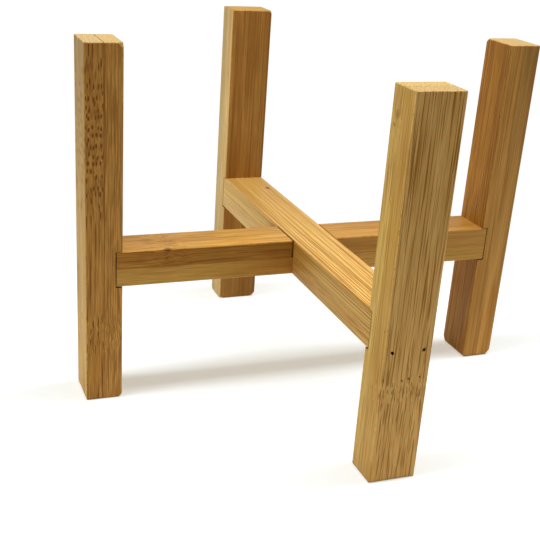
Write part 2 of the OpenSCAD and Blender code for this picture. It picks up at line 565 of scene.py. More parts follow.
def blind_hole(mesh, point, normal, radius, depth, narrower=1.0):
    """A round hole with a bottom."""
    rim = open_mouth(mesh, point, normal, radius)
    rim = push_wall(mesh, rim, -normal * depth, narrower)
    bmesh.ops.edgeloop_fill(mesh, edges=rim)


print("hole helpers ready, rings of", RING)

# %% [markdown]
# The outer strip has the sunk head's wide mouth and the narrow shank hole behind it. The
# inner strip has the shank hole alone, and the rail's lower strip a blind hole in its end
# grain. All take the same two places, so that a brad passes through them in one line.

# %% Bore the strips
BRAD_PLACES = (-6.6, 6.6)
BRAD_HEIGHT = RAIL_UNDERSIDE + STRIP_THICKNESS / 2
HEAD_RADIUS, HEAD_DEPTH = 0.65, 1.65
SHANK_RADIUS, SHANK_END = 0.5, 31.05
FREE, GLUED = Vector((0, 1, 0)), Vector((0, -1, 0))


def bore_leg_strip(mesh, outer):
    """A through hole for each brad, with a wide mouth in the outer strip."""
    for across in BRAD_PLACES:
        if outer:
            mouth = Vector((across, STRIP_THICKNESS, BRAD_HEIGHT))
            rim = open_mouth(mesh, mouth, FREE, HEAD_RADIUS)
            rim = push_wall(mesh, rim, GLUED * HEAD_DEPTH)
            rim = push_wall(mesh, rim, Vector(), SHANK_RADIUS / HEAD_RADIUS)
        else:
            mouth = Vector((across, HOUSING_FLOOR, BRAD_HEIGHT))
            rim = open_mouth(mesh, mouth, FREE, SHANK_RADIUS)
        far_rim = open_mouth(mesh, Vector((across, 0, BRAD_HEIGHT)), GLUED, SHANK_RADIUS)
        bmesh.ops.bridge_loops(mesh, edges=rim + far_rim)


def bore_rail_end(mesh, end):
    """The blind holes in the end grain of a rail, end is -1 or 1."""
    depth = SHANK_END - (HALF_SPAN - RAIL_HALF_LENGTH)
    for across in BRAD_PLACES:
        mouth = Vector((across, STRIP_THICKNESS / 2, end * RAIL_HALF_LENGTH))
        blind_hole(mesh, mouth, Vector((0, 0, end)), SHANK_RADIUS, depth)


for name, mesh in blanks.items():
    if "leg" in name:
        bore_leg_strip(mesh, "outer" in name)
bore_rail_end(blanks["lower_rail_bottom_strip"], -1)
bore_rail_end(blanks["upper_rail_bottom_strip_front"], -1)
bore_rail_end(blanks["lower_rail_bottom_strip"], 1)
bore_rail_end(blanks["upper_rail_bottom_strip_back"], 1)
print("holes in each leg strip and rail end", len(BRAD_PLACES))

# %% [markdown]
# ## Pores
# Where the culm had a joint, a row of fine pores crosses the outer face of the front leg, and
# one more lies in its left side. They are real holes, so they are bored like the others, only
# smaller and not so deep, and they narrow towards the bottom.

# %% Prick the pores
PORE_RADIUS, PORE_DEPTH, PORE_TAPER = 0.37, 0.7, 0.7
NODE_PORES = ((9.05, 44.9), (1.2, 43.8), (-1.7, 44.35), (-6.3, 44.6))
SIDE_PORE, SIDE = Vector((STRIP_WIDTH / 2, 6.1, 64.1)), Vector((1, 0, 0))

pores = [(Vector((across, STRIP_THICKNESS, height)), FREE) for across, height in NODE_PORES]
pores.append((SIDE_PORE, SIDE))
for point, way in pores:
    blind_hole(blanks["front_leg_outer_strip"], point, way, PORE_RADIUS, PORE_DEPTH, PORE_TAPER)
print("pores", len(pores))

# %% [markdown]
# ## A chipped corner, worn feet and blunt corners
# The left leg has lost a corner at its top, and the ends of a few legs are rounder than the
# rest. All are pared with a knife, so here they are cuts with a plane: bisect_plane takes
# the corner off and one flat face closes the wound. Three cuts that lean more and more
# follow a quarter round along a worn foot, and leave the facets of a hand tool.

# %% Pare the corners
CHIP_CORNER = Vector((STRIP_WIDTH / 2, STRIP_THICKNESS, LEG_HEIGHT))
CHIP_REACH = (2.2, 2.6, 2.4)
FACE_AT_FOOT = Vector((0, STRIP_THICKNESS, 0))
FOOT_LEANS = (22.5, 45.0, 67.5)
WORN_FEET = {
    "left_leg_inner_strip": 1.4,
    "right_leg_inner_strip": 1.7,
    "right_leg_outer_strip": 0.9,
    "back_leg_outer_strip": 0.9,
}


def pare(mesh, point, normal):
    """Cuts off what lies outside a plane and closes the cut."""
    whole = list(mesh.verts) + list(mesh.edges) + list(mesh.faces)
    cut = bmesh.ops.bisect_plane(
        mesh, geom=whole, dist=SAME_POINT, plane_co=point, plane_no=normal, clear_outer=True
    )
    rim = only(EDGE, cut["geom_cut"])
    bmesh.ops.edgeloop_fill(mesh, edges=rim)
    return len(rim)


def wear_foot(mesh, radius):
    """Three cuts along the foot of the free face, which follow a quarter round."""
    middle = FACE_AT_FOOT - (FREE + DOWN) * radius
    for lean in FOOT_LEANS:
        way = FREE * math.cos(math.radians(lean)) + DOWN * math.sin(math.radians(lean))
        pare(mesh, middle + way * radius, way)


chip_normal = Vector([1 / reach for reach in CHIP_REACH]).normalized()
chip_point = CHIP_CORNER - Vector((CHIP_REACH[0], 0, 0))
chip_sides = pare(blanks["left_leg_inner_strip"], chip_point, chip_normal)
for name, radius in WORN_FEET.items():
    wear_foot(blanks[name], radius)
print("chip with", chip_sides, "sides, worn feet", len(WORN_FEET))

# %% [markdown]
# A blunt corner takes three cuts: one straight across it, and one that leans to either side.
# Each row names the strip, the side of the corner, its height and how far the cuts reach in.
# A cut is a lean and the share of that reach at which it lies.

# %% Blunt the corners
TOP, FOOT = LEG_HEIGHT, 0.0
BLUNT_CORNERS = (
    ("right_leg_inner_strip", 1, TOP, 2.0),
    ("back_leg_inner_strip", -1, TOP, 1.8),
    ("right_leg_inner_strip", 1, FOOT, 3.4),
    ("right_leg_inner_strip", -1, FOOT, 1.5),
    ("right_leg_outer_strip", 1, FOOT, 2.7),
    ("left_leg_inner_strip", 1, FOOT, 1.8),
    ("left_leg_outer_strip", 1, FOOT, 1.5),
    ("back_leg_outer_strip", -1, FOOT, 2.2),
    ("back_leg_inner_strip", 1, FOOT, 2.0),
    ("back_leg_inner_strip", -1, FOOT, 2.6),
)
CUTS = ((1.0, 0.58), (2.2, 0.42), (0.45, 0.42))

for name, side, height, reach in BLUNT_CORNERS:
    corner = Vector((side * STRIP_WIDTH / 2, STRIP_THICKNESS, height))
    upward = 1 if height == TOP else -1
    for lean, depth in CUTS:
        way = Vector((side, 1, upward * lean)).normalized()
        pare(blanks[name], corner - way * reach * depth, way)
print("blunt corners", len(BLUNT_CORNERS))

# %% [markdown]
# ## Bamboo grain
# Bamboo has no rings. Its wood is a pale ground with hundreds of brown fibre bundles that
# all run lengthwise, so a long face shows streaks and an end shows dots. The pattern is a
# node group, because all fourteen strips use it, each with its own values.
#
# A group's sockets are made first. The tones are the strip's own. Across, Deep, Run and Width
# size the cells of the figure, and Wander bends them. The Node values swirl the fibres where
# the culm had its joint, and the Dash values break them up. A Drift changes a value from the
# low end to the high one, and Skew from side to side. The last seven come from the edge
# group, which says where on the strip a point lies.

# %% Grain group: its sockets
FLOAT, COLOUR, VECTOR = "NodeSocketFloat", "NodeSocketColor", "NodeSocketVector"
TONES_IN = ("Side Tone", "Face Tone", "End Tone", "Bundle Tone")
EDGES_OUT = ("Face", "Wear And Highlight", "Glue", "Painted Shade", "End", "Along", "Shade By Joint")
STRIP_VALUES = {
    "Seed": 0.0, "Across": 1.3, "Deep": 1.2, "Width": 0.5, "Run": 90.0, "Run On": 0.0,
    "Wander": 0.4, "Bundles": 0.6, "Even": 0.1, "Lines": 0.4, "Line Run": 30.0, "Fibres": 0.4,
    "Side Figure": 0.75, "Face Figure": 0.5, "Figure Drift": 0.0, "Bands": 0.7, "Skew": 0.0,
    "Side Drift": 0.0, "Face Drift": 0.0, "Dash Low": 1000.0, "Dash High": 1001.0,
    "Dashes": 0.0, "Dot Width": 0.0, "Node Height": -1000.0, "Node Reach": 8.0,
    "Node Swirl": 0.0, "Node Dashes": 0.0, "Spot Size": 0.5, "Spot Depth": 0.85,
    "End Figure": 0.5, "Seam": 0.3, "Seam Drift": 0.0, "Foot Shade": 0.0, "Joint Shade": 0.0,
}


def new_group(name, takes):
    """An empty node group, and what it is given: each socket's name, kind and own value."""
    group = bpy.data.node_groups.new(name, "ShaderNodeTree")
    for label, kind, value in takes:
        socket = group.interface.new_socket(label, in_out="INPUT", socket_type=kind)
        if value is not None:
            socket.default_value = value
    start = add_node(group, "NodeGroupInput", "given").outputs
    wrap = {label: Amount if kind == FLOAT else Triple for label, kind, value in takes}
    return group, {label: wrap[label](start[label]) for label in wrap}


def put_out(group, values):
    """The group's results: each value gets a socket of its own name."""
    for label, value in values.items():
        kind = COLOUR if isinstance(value, Triple) else FLOAT
        group.interface.new_socket(label, in_out="OUTPUT", socket_type=kind)
    add_node(group, "NodeGroupOutput", "result", sockets=values)
    print(group.name, "has", len(group.nodes), "nodes")


grain_group, given = new_group(
    "bamboo_grain",
    [("Place", VECTOR, None), ("Spot Place", VECTOR, (0.0, 0.0, -1000.0))]
    + [(label, COLOUR, None) for label in TONES_IN]
    + [(label, FLOAT, value) for label, value in STRIP_VALUES.items()]
    + [(label, FLOAT, 0.0) for label in EDGES_OUT],
)
print("bamboo_grain takes", len(given), "values")

# %% [markdown]
# The fibres are bent before any pattern is read. Two noises do it: a slow one that makes them
# wander by a fraction of a millimetre, and a quick one that only acts near the node. The place
# along the fibres is then counted in turns of the pattern. Where turns are added over a short
# stretch, the streaks shorten to dashes and dots there, as they do where the strip was
# planed through the outer layer of the culm.

# %% Grain group: bent fibres
SEED_STEP = (37.3, 21.7, 113.0)
WANDER_PITCH, WANDER_REACH = (0.11, 0.11, 0.018), 3.0
SWIRL_PITCH, SWIRL_REACH = (0.32, 0.32, 0.17), 8.0
TO_ONE, BROADER = 4.0, 0.6


def joined(tree, x, y, z):
    """A place from three numbers."""
    return Triple(add_node(tree, "ShaderNodeCombineXYZ", "", sockets={0: x, 1: y, 2: z}).outputs[0])


def noise_outputs(place, detail, label):
    """A noise that is read at the given place, as it comes."""
    sockets = {"Vector": place, "Scale": 1.0, "Detail": detail, "Roughness": 0.55}
    return add_node(place.tree, "ShaderNodeTexNoise", label, sockets=sockets).outputs


def noise(place, detail, label):
    """A noise of one number, about 0.5."""
    return Amount(noise_outputs(place, detail, label)["Fac"])


def bend(place, label):
    """A noise of three numbers, each about 0."""
    return Triple(noise_outputs(place, 1.0, label)["Color"]) - (0.5, 0.5, 0.5)


# The block is shifted by the seed, so that no two strips share a pattern.
g = grain_group
block = given["Place"] + joined(g, *SEED_STEP) * given["Seed"]
x, y, z = given["Place"].parts()

near_node = eased(abs(z - given["Node Height"]), given["Node Reach"], 0.0, "near the node")
wander = bend(block * WANDER_PITCH, "wander") * (given["Wander"] * WANDER_REACH)
swirl = bend(block * SWIRL_PITCH, "swirl") * (near_node * given["Node Swirl"] * SWIRL_REACH)
bent_x, bent_y, bent_z = (block + wander + swirl).parts()

dash_share = eased(z, given["Dash Low"], given["Dash High"], "through the dashes")
in_dashes = (dash_share * (1.0 - dash_share) * TO_ONE) ** BROADER
node_low = given["Node Height"] - given["Node Reach"]
node_high = given["Node Height"] + given["Node Reach"]
node_turns = eased(z, node_low, node_high, "node dashes", 0.0, given["Node Dashes"])
added_turns = dash_share * given["Dashes"] + node_turns
turns = bent_z / given["Run"] + added_turns
print("fibres bent with", len(g.nodes), "nodes")

# %% [markdown]
# The figure is what the eye reads as grain. It has three layers: bundles, each a cell with its
# own depth of brown, then thin lines between them, and last the finest fibres. A layer
# darkens what is left by the one before, so together they never pass 1.
#
# The cells are flat, about a millimetre across and very long. One count across goes round
# the strip's section, so that a cell shows whether the face is a broad or a narrow one. A
# bundle ends in a point inside its cell. Run On takes that point away, and the streak then
# runs through its cell from end to end.

# %% Grain group: figure
CELL_UNEVEN = 0.85
BUNDLE_RIM, BUNDLE_CORE = 0.44, 0.22
LINES_PER_MM, LINE_TURNS = 1.7, 0.8
THIN_LINE = 0.53, 0.61
FIBRES_PER_MM, FIBRE_RUN = 1.9, 11.0
FIBRE_LINE = 0.36, 0.64


def layered(below, layer, strength):
    """Adds a layer to a mask. It darkens its share of what is left."""
    return below + layer * strength * (1.0 - below)


def cells_at(place, uneven, label):
    """The cell that holds a place: how far its core is, where, and its own colour."""
    settings = {"voronoi_dimensions": "2D", "feature": "F1"}
    sockets = {"Vector": place, "Scale": 1.0, "Randomness": uneven}
    return add_node(place.tree, "ShaderNodeTexVoronoi", label, settings, sockets).outputs


def face_or_side(what):
    """One value on the free face and another on the sides, blended at the arris."""
    side = given["Side " + what]
    return (given["Face " + what] - side) * given["Face"] + side


count_across = bent_x / given["Across"] + bent_y / given["Deep"]
cell_place = joined(g, count_across, turns, 0.0)
cells = cells_at(cell_place, CELL_UNEVEN, "fibre bundles")
width = given["Dot Width"] * in_dashes + given["Width"]
stretch = joined(g, 1.0, 1.0 - given["Run On"], 0.0)
from_core = ((cell_place - cells["Position"]) * stretch).length()
bundle = eased(from_core, width * BUNDLE_RIM, width * BUNDLE_CORE, "a bundle's width")
own_shade = add_node(g, "ShaderNodeSeparateColor", "own shade", sockets={0: cells["Color"]})
own_shade = Amount(own_shade.outputs[0])
bundle = bundle * (own_shade + (1.0 - own_shade) * given["Even"])

line_turns = bent_z / given["Line Run"] + added_turns * LINE_TURNS
line_place = joined(g, (bent_x + bent_y) * LINES_PER_MM, line_turns, 0.0)
line = eased(noise(line_place, 1.0, "lines"), *THIN_LINE, "thin lines")
fibre_turns = bent_z / FIBRE_RUN + added_turns
fibre_place = joined(g, bent_x * FIBRES_PER_MM, bent_y * FIBRES_PER_MM, fibre_turns)
fine = eased(noise(fibre_place, 2.0, "fibres"), *FIBRE_LINE, "fibre lines")

figure = bundle * given["Bundles"]
figure = layered(figure, line, given["Lines"])
figure = layered(figure, fine, given["Fibres"])
figure = figure * (face_or_side("Figure") * (given["Along"] * given["Figure Drift"] + 1.0))
print("figure drawn with", len(g.nodes), "nodes")

# %% [markdown]
# Colour goes from the ground up. The free face and the sides of a strip have different tones,
# because one is cut along the wall of the culm and the other through it. Broad bands, a slope
# across the strip and one along it vary the ground. By the crossing the wood is painted darker
# and redder, as the shade that the crossing parts cast there. Over that come the figure, and a
# knot if the strip has one.

# %% Grain group: ground and figure
BANDS_PER_MM, BAND_RUN, BAND_TURNS = 0.24, 70.0, 0.3
BAND = 0.34, 0.66
DEEPER, PALER = (0.86, 0.80, 0.68), (1.14, 1.19, 1.28)
# The tone that the wood takes by the crossing is painted shade.
JOINT_SHADE_TONE = (0.75, 0.64, 0.48)
SPOT_LONG, SPOT_CORE = (1.0, 1.0, 0.6), 0.45
MOTTLE_PITCH, MOTTLE_REACH = (1.9, 1.9, 1.1), 1.6
SPOT_TONE = (0.15, 0.048, 0.006, 1)

tone = mixed(given["Face"], given["Side Tone"], given["Face Tone"], "face or side")
band_turns = added_turns * BAND_TURNS + bent_z / BAND_RUN
band_place = joined(g, bent_x * BANDS_PER_MM, bent_y * BANDS_PER_MM, band_turns)
band = eased(noise(band_place, 2.0, "bands"), *BAND, "bands", -0.5, 0.5)
band = band * given["Bands"] + 0.5
colour = mixed(band, tone * DEEPER, tone * PALER, "ground")

slope = x / (STRIP_WIDTH / 2) * given["Skew"] + given["Along"] * face_or_side("Drift")
colour = colour * (slope + 1.0)
# Painted shade by the crossing, on the rails that take it.
joint_shade = given["Shade By Joint"] * given["Joint Shade"]
colour = mixed(joint_shade, colour, colour * JOINT_SHADE_TONE, "painted shade by the joint")
colour = mixed(figure, colour, given["Bundle Tone"], "figure")

spot_way = (given["Place"] - given["Spot Place"]) * SPOT_LONG
mottle = (noise(given["Place"] * MOTTLE_PITCH, 2.0, "mottle") - 0.5) * given["Spot Size"]
spot_reach = spot_way.length() + mottle * MOTTLE_REACH
spot = eased(spot_reach, given["Spot Size"], given["Spot Size"] * SPOT_CORE, "spot")
colour = mixed(spot * given["Spot Depth"], colour, SPOT_TONE, "spot")
print("ground and figure coloured with", len(g.nodes), "nodes")

# %% [markdown]
# The rest lies on top. An end is cut across the bundles, so they are dots there, whatever the
# pitch on the faces. A worn arris is paler, partly as sanded wood and partly as a painted
# highlight along its rounding, with dark nicks in it. The seam of the glue is dark and uneven.
# The feet get a thin painted shade where they stand on the floor, and the seat and the hollows
# are painted nearly black as shade. Roughness and height follow the same layers, so that the
# fibres can be felt as well as seen.

# %% Grain group: ends, wear and relief
DOT_PITCH, DOT_UNEVEN = (1.2, 1.2, 0.0), 0.9
CUT_BUNDLE = 0.44, 0.20
# A worn arris is painted paler, partly as sanded wood and partly as a painted highlight.
SANDED_AND_HIGHLIGHT, WORN_AND_HIGHLIGHT = (1.25, 1.25, 1.30), 0.25
NICK_PITCH, NICK, NICK_DEPTH = (0.5, 0.5, 0.45), (0.56, 0.64), 0.55
SEAM_PITCH, SEAM_NOISE, SEAM_DEPTH = 0.12, (0.35, 0.62), (0.6, 1.2)
# A thin painted shade at the foot of a leg, where it stands on the floor.
FOOT_SHADE_FROM, FOOT_SHADE_FULL = 1.0, 0.2
# A nearly black tone for the painted shade in the seat, along the gap and in the hollows.
PAINTED_SHADE_TONE = (0.06, 0.028, 0.01, 1)
ROUGH, ROUGH_FIBRES, ROUGH_BUNDLES, ROUGH_ENDS = 0.46, 0.10, 0.10, 0.16
SUNK_BUNDLES, SUNK_LINES, SUNK_FIBRES = 0.6, 0.4, 0.3

dots = Amount(cells_at(block * DOT_PITCH, DOT_UNEVEN, "cut bundles")["Distance"])
dots = eased(dots, *CUT_BUNDLE, "a cut bundle") * given["End Figure"]
end_colour = mixed(dots, given["End Tone"], given["Bundle Tone"], "end grain colour")
colour = mixed(given["End"], colour, end_colour, "end grain")

colour = mixed(given["Wear And Highlight"] * WORN_AND_HIGHLIGHT, colour, tone * SANDED_AND_HIGHLIGHT, "worn arris and painted highlight")
nick = eased(noise(block * NICK_PITCH, 2.0, "nicks"), *NICK, "nicks") * given["Wear And Highlight"] * NICK_DEPTH
seam = noise(joined(g, 0.0, 0.0, z * SEAM_PITCH), 1.0, "seam")
seam = eased(seam, *SEAM_NOISE, "seam depth", *SEAM_DEPTH) * given["Seam"]
seam = given["Glue"] * (seam * (given["Along"] * given["Seam Drift"] + 1.0))
painted_foot_shade = eased(z, FOOT_SHADE_FROM, FOOT_SHADE_FULL, "at the foot") * given["Foot Shade"]
for mask, label in ((nick, "nicked arris"), (seam, "glue"), (painted_foot_shade, "painted shade at the foot")):
    colour = mixed(mask, colour, given["Bundle Tone"], label)
colour = mixed(given["Painted Shade"], colour, PAINTED_SHADE_TONE, "painted shade in the seat and hollows")

rough = fine * ROUGH_FIBRES + ROUGH + bundle * ROUGH_BUNDLES + given["End"] * ROUGH_ENDS
height = bundle * -SUNK_BUNDLES - line * SUNK_LINES - fine * SUNK_FIBRES - spot
put_out(g, {"Color": colour, "Roughness": rough, "Height": height})

# %% [markdown]
# ## Faces, arrises, glue line and ends
# Where a point lies on the strip says what is to be seen there: the free face or a side, an
# arris that handling has worn and that carries a painted highlight, the thin dark seam of the
# glue, or an end cut across the fibres. A second group works these out as masks. The saw tears
# a few fibres at an end, so the edge of that mask is ragged. Along goes from -1 at the low end
# to 1 at the high one.

# %% The edge group: arrises and ends
HALF_WIDTH = STRIP_WIDTH / 2
FACE_EASE, ARRIS_EASE, SEAM_HALF, END_EASE = 0.6, 0.55, 0.26, 0.36
FULL_AT_SIDE, FULL_AT_FACE, FULL_AT_SEAM, FULL_AT_END = 0.10, 0.15, 0.03, 0.10
TEAR_PITCH, TEAR = (1.5, 1.5, 0.3), 0.5

edge_group, given = new_group(
    "strip_edges",
    [
        ("Place", VECTOR, None),
        ("Low End", FLOAT, 0.0),
        ("High End", FLOAT, LEG_HEIGHT),
        ("Joint", FLOAT, 0.0),
    ],
)
x, y, z = given["Place"].parts()
sideways = abs(x)
at_side = eased(sideways, HALF_WIDTH - ARRIS_EASE, HALF_WIDTH - FULL_AT_SIDE, "at a side")
at_face = eased(y, STRIP_THICKNESS - FACE_EASE, STRIP_THICKNESS - FULL_AT_FACE, "at the face")
glue = eased(y, SEAM_HALF, FULL_AT_SEAM, "glue line")

from_low = z - given["Low End"]
from_high = given["High End"] - z
to_end = from_low.or_less(from_high)
along = (from_low - from_high) / (given["High End"] - given["Low End"])
torn = (noise(given["Place"] * TEAR_PITCH, 1.0, "torn") - 0.5) * TEAR
at_end = eased(to_end - torn, END_EASE, FULL_AT_END, "at an end")
# Wear and a painted highlight along the arrises and the edges of the ends.
wear_and_highlight = (at_side * at_face).or_more(at_end * at_side.or_more(at_face))
print("arrises and ends found with", len(edge_group.nodes), "nodes")

# %% [markdown]
# The seat of the crossing is painted nearly black as shade, and a thin line of painted shade
# lies just below the rim of the notch, on the side where the gap is open, so that the gap reads
# dark. Light hardly reaches the walls of a housing or a hole, so everything well inside the
# board counts as a hollow and is painted dark too. The last mask says how near the crossing a
# point on a rail's side is, for the painted shade that the crossing parts cast there. It
# reaches further towards the low end of the rail than the high one.

# %% The edge group: painted shade in the seat, the gap and the hollows
# Each pair says where a mask starts and where it is full, in millimetres.
GLUED_FACE, OFF_SIDES = (0.16, 0.12), (0.12, 0.3)
BELOW_RIM, ABOVE_CLEAN = (7.60, 7.45), (6.4, 6.8)
IN_NOTCH, GAP_SIDE = (10.3, 10.1), (9.0, 9.3)
SHALLOW, DEEP_STEP, OFF_ENDS = (0.05, 0.2), 0.1, (2.9, 3.2)
JOINT_SHADE_LOW, JOINT_SHADE_HIGH = (-50.0, -15.0), (26.0, 12.0)
# How dark the painted shade is in the seat, along the gap and in the hollows.
SEAT_SHADE, GAP_SHADE, HOLLOW_SHADE = 0.45, 0.8, 0.9


def off_sides(start, full):
    """Away from the sides of the board."""
    return eased(sideways, HALF_WIDTH - start, HALF_WIDTH - full, "away from the sides")


def under_the_face(start, full, from_side):
    """The inside of the board from a depth down, away from its sides."""
    deep = eased(y, STRIP_THICKNESS - start, STRIP_THICKNESS - full, "under the face")
    return deep * off_sides(from_side, from_side + DEEP_STEP)


# The seat of the crossing gets painted shade.
seat = eased(y, *GLUED_FACE, "glued face") * off_sides(*OFF_SIDES) * SEAT_SHADE
# A thin line of painted shade below the rim of the notch, where the gap is open.
painted_gap_shade = eased(y, *BELOW_RIM, "below the rim") * eased(y, *ABOVE_CLEAN, "above the shade line")
painted_gap_shade = painted_gap_shade * eased(abs(z), *IN_NOTCH, "in the notch") * eased(x, *GAP_SIDE, "gap side")
painted_gap_shade = painted_gap_shade * given["Joint"] * GAP_SHADE

shallow = under_the_face(*SHALLOW, LONG_RADIUS)
deep = under_the_face(LONG_RADIUS, LONG_RADIUS + DEEP_STEP, DEEP_STEP)
hollow = shallow.or_more(deep) * eased(to_end, *OFF_ENDS, "away from the ends") * HOLLOW_SHADE
dark = seat.or_more(hollow).or_more(painted_gap_shade)

# How near the crossing a point on a rail's side is, for the painted shade there.
low_side, high_side = eased(z, *JOINT_SHADE_LOW, "low side"), eased(z, *JOINT_SHADE_HIGH, "high side")
shade_by_joint = low_side * high_side * (1.0 - at_face)
masks = (at_face, wear_and_highlight, glue, dark, at_end, along, shade_by_joint)
put_out(edge_group, dict(zip(EDGES_OUT, masks)))

# %% [markdown]
# ## A finish from the two groups
# Each material places both groups with its own values. A Mapping node takes the object's
# coordinates back to the bench, in millimetres, so the pattern follows the strip however it
# lies in the stand. The shader itself stays in the material. Only the upper rail's full-length
# strip has the painted shade line below the rim of the notch, and only the legs have painted
# shade at their feet.

# %% The finish of a strip
# How strong the painted shade at the feet of the legs is.
FOOT_SHADE = 0.7
RELIEF, RELIEF_HEIGHT = 0.5, 0.06 * MM


def bamboo_finish(name, look):
    """The material of one strip."""
    material, tree, here = new_material("bamboo_" + name)
    back = PLACES[name].inverted()
    mapping = add_node(
        tree, "ShaderNodeMapping", "back on the bench", {"vector_type": "POINT"},
        {
            "Vector": here,
            "Location": back.to_translation(),
            "Rotation": back.to_euler(),
            "Scale": (1 / MM,) * 3,
        },
    )
    bench = mapping.outputs[0]
    heights = [height for depth, height in OUTLINES[name]]
    where = {"Place": bench, "Low End": min(heights), "High End": max(heights)}
    # Only this strip gets the painted shade line below the rim of the notch.
    where["Joint"] = 1.0 if name == "upper_rail_top_strip" else 0.0
    edges = add_node(tree, "ShaderNodeGroup", "edges", {"node_tree": edge_group}, where).outputs
    values = {"Place": bench, "Foot Shade": FOOT_SHADE if "leg" in name else 0.0, **look}
    values.update({mask.name: mask for mask in edges})
    grain = add_node(tree, "ShaderNodeGroup", "grain", {"node_tree": grain_group}, values).outputs
    bump = add_node(
        tree, "ShaderNodeBump", "fibre relief",
        sockets={"Height": grain["Height"], "Strength": RELIEF, "Distance": RELIEF_HEIGHT},
    )
    surface(
        tree, "ShaderNodeBsdfPrincipled", "oiled bamboo",
        {
            "Base Color": grain["Color"],
            "Roughness": grain["Roughness"],
            "Normal": bump.outputs[0],
            "Specular IOR Level": 0.2,
        },
    )
    return material


print("finish helper ready")

# %% [markdown]
# ## Every strip its own look
# Strips are picked at random from the pile, so their tones differ: tan, golden and amber. The
# left leg's outer strip was planed through the outer layer of the culm, so its side is full
# of short dashes. The front leg's outer strip and both strips of the left leg have a node low
# down. Four tones are given for each strip: its sides, its free face, its ends and its
# bundles. A value that isn't given stays as the group has it.

# %% The looks
# UNSEEN is a plain tone, for free faces that look down or back.
BROWN = (0.31, 0.12, 0.012)
RED_BROWN = (0.23, 0.075, 0.008)
WARM_BROWN = (0.38, 0.155, 0.006)
UNSEEN = (0.62, 0.38, 0.13)
LEFT_LEG = {
    "Node Height": 31, "Node Reach": 12, "Node Swirl": 0.35, "Node Dashes": 1.3,
    "End Figure": 0.7, "Seam": 0.75, "Seam Drift": 0.85,
}


def tones(*four):
    """The four tones of a strip, as colour values for the grain group."""
    return {label: (*tone, 1.0) for label, tone in zip(TONES_IN, four)}


